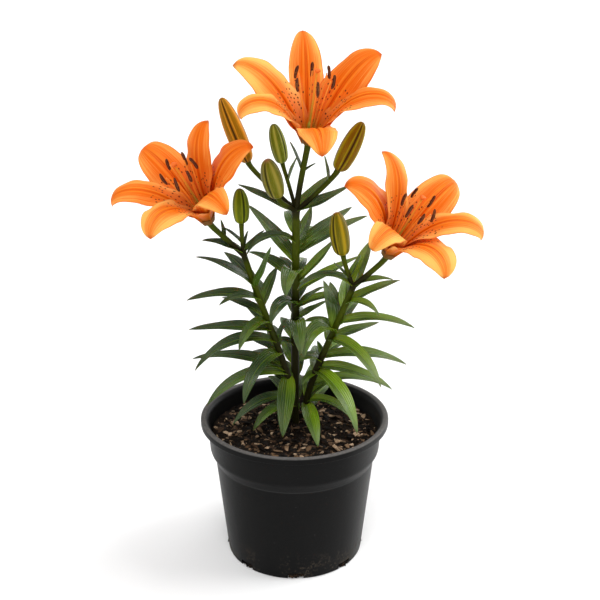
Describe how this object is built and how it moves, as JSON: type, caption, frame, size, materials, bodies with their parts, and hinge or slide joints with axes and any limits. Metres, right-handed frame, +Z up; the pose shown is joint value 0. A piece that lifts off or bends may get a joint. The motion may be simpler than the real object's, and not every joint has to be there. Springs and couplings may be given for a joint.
{
  "type": "potted asiatic lily",
  "caption": "Potted asiatic lily: upright leafy stems with open spotted orange flowers and closed buds, in a round black nursery pot filled with soil and bark.",
  "frame": {"origin": "centre of the pot's underside, on the surface that the pot stands on", "axes": "+Z up along the pot's axis, the flowers face -Y, +X to the right as seen from the flowers' side"},
  "size_m": [0.3038, 0.1711, 0.4711],
  "materials": {
    "pot": "black polypropylene, satin matte, a little dusty, worn grey on the rim",
    "soil": "dark damp peat with tan and reddish bark chips",
    "bulb": "dry cream scales",
    "foliage": "waxy green leaves with parallel veins, olive stems with purple-brown patches",
    "bud": "ribbed green bud turning orange-brown, soft sheen",
    "petal": "orange petal, paler peach towards the edges, dark freckles near the throat",
    "filament": "smooth orange-yellow",
    "pistil": "smooth yellow-green style, coral stigma",
    "anther": "powdery dark maroon pollen"
  },
  "bodies": {
    "root": {"pot": "pot", "soil": "soil", "bulb": "bulb", "stem_centre": "foliage", "stem_left": "foliage", "stem_right": "foliage", "bud_top_left": "bud", "bud_top_middle": "bud", "bud_top_front": "bud", "bud_top_right": "bud", "bud_left": "bud", "bud_right": "bud", "bloom_top": "petal", "filaments_top": "filament", "pistil_top": "pistil", "anther_top_1": "anther", "anther_top_2": "anther", "anther_top_3": "anther", "anther_top_4": "anther", "anther_top_5": "anther", "anther_top_6": "anther", "bloom_left": "petal", "filaments_left": "filament", "pistil_left": "pistil", "anther_left_1": "anther", "anther_left_2": "anther", "anther_left_3": "anther", "anther_left_4": "anther", "anther_left_5": "anther", "anther_left_6": "anther", "bloom_right": "petal", "filaments_right": "filament", "pistil_right": "pistil", "anther_right_1": "anther", "anther_right_2": "anther", "anther_right_3": "anther", "anther_right_4": "anther", "anther_right_5": "anther", "anther_right_6": "anther"}
  },
  "joints": []
}
